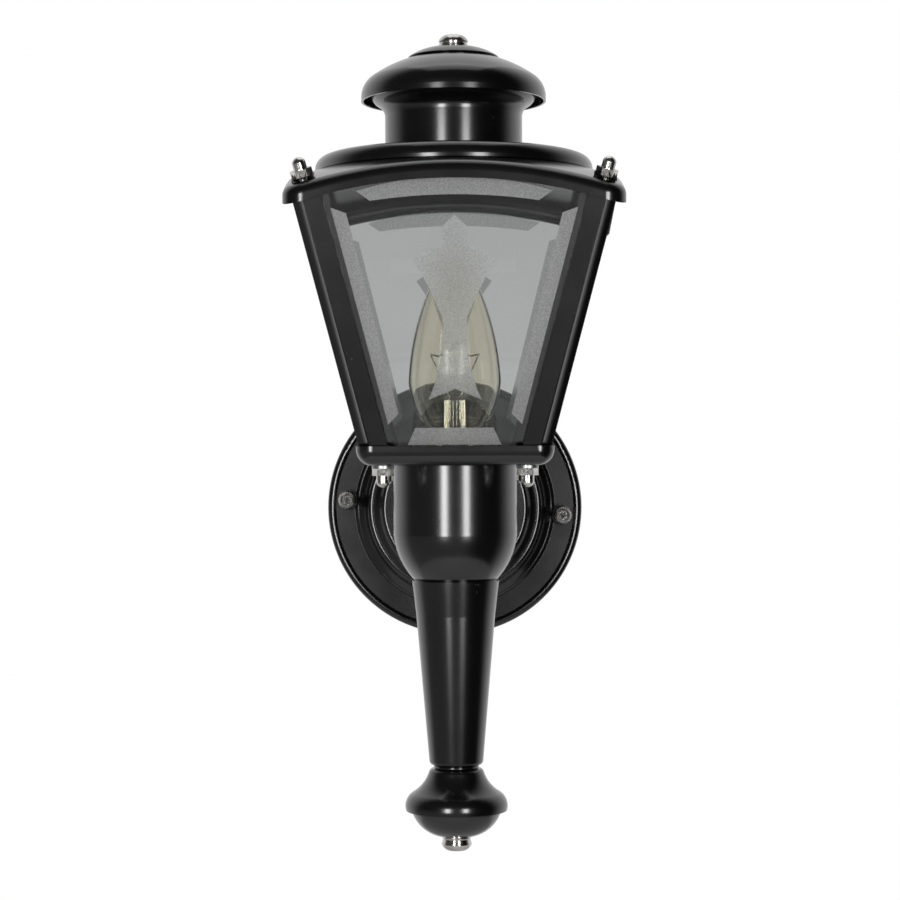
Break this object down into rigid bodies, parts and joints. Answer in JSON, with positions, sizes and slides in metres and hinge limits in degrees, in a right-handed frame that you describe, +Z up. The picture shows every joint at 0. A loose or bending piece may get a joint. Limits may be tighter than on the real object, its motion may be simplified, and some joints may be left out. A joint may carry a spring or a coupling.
{
  "type": "torch wall sconce",
  "caption": "Outdoor torch wall lantern: tapered square glass lantern with domed roof, chimney and cap on a cup, tapered stem and turned tail, held by a round stepped wall plate.",
  "frame": {"origin": "centre of the wall plate's back rim, in the plane of the wall", "axes": "+Z up, +Y into the wall, +X to the right as seen from the front"},
  "size_m": [0.1408, 0.1604, 0.3553],
  "materials": {
    "black_paint": "semi-gloss",
    "nickel_plate": "polished",
    "clear_glass": "clear, with etched bands",
    "zinc_steel": "zinc plated",
    "brass": "plain",
    "aluminium_shell": "bright",
    "porcelain": "glazed",
    "black_insulator": "gloss",
    "tungsten": "drawn wire"
  },
  "bodies": {
    "lantern": {"canopy": "black_paint", "arm": "black_paint", "arm_collar": "black_paint", "cup": "black_paint", "tray": "black_paint", "corner_post_front_right": "black_paint", "corner_post_rear_right": "black_paint", "corner_post_rear_left": "black_paint", "corner_post_front_left": "black_paint", "roof_plate": "black_paint", "roof_ring": "black_paint", "chimney": "black_paint", "side_glass_clip": "black_paint", "stem": "black_paint", "tail_bead": "black_paint", "tail_bell": "black_paint", "tail_bowl": "black_paint", "top_acorn_nuts": "nickel_plate", "bottom_acorn_nuts": "nickel_plate", "tail_nut": "nickel_plate", "glass_front": "clear_glass", "glass_right": "clear_glass", "glass_rear": "clear_glass", "glass_left": "clear_glass", "mounting_strap": "zinc_steel", "strap_studs": "zinc_steel", "arm_nipple": "zinc_steel", "arm_locknuts": "zinc_steel", "corner_rods": "zinc_steel", "top_washers": "zinc_steel", "bottom_washers": "zinc_steel", "chimney_crossbar": "zinc_steel", "finial_rod": "zinc_steel", "finial_rod_nuts": "zinc_steel", "tail_locknut": "zinc_steel", "tail_rod": "zinc_steel", "socket_bracket": "zinc_steel", "bracket_screws": "zinc_steel", "ground_screw": "zinc_steel", "socket_shell": "brass", "socket_contact": "brass", "socket_body": "porcelain"},
    "cap": {"cap_hood": "black_paint", "cap_disc": "black_paint"},
    "finial": {"finial_nut": "nickel_plate"},
    "bulb": {"bulb_glass": "clear_glass", "bulb_base": "aluminium_shell", "bulb_insulator": "black_insulator", "bulb_contact": "brass", "bulb_stem": "clear_glass", "bulb_filament": "tungsten"},
    "left_thumb_nut": {"thumb_nut_left": "nickel_plate"},
    "right_thumb_nut": {"thumb_nut_right": "nickel_plate"}
  },
  "joints": [
    {"name": "cap_lift", "type": "slide", "parent": "lantern", "child": "cap", "axis": [0, 0, 1], "range_m": [0, 0.06]},
    {"name": "finial_turn", "type": "hinge", "parent": "cap", "child": "finial", "pos_m": [0, -0.09, 0.2055], "axis": [0, 0, 1], "continuous": true},
    {"name": "bulb_turn", "type": "hinge", "parent": "lantern", "child": "bulb", "pos_m": [0, -0.09, 0.01], "axis": [0, 0, 1], "range_deg": [0, 1260]},
    {"name": "left_thumb_nut_turn", "type": "hinge", "parent": "lantern", "child": "left_thumb_nut", "pos_m": [-0.05066, -0.009, 0.00372], "axis": [0, 1, 0], "continuous": true},
    {"name": "right_thumb_nut_turn", "type": "hinge", "parent": "lantern", "child": "right_thumb_nut", "pos_m": [0.05066, -0.009, -0.00372], "axis": [0, 1, 0], "continuous": true}
  ]
}
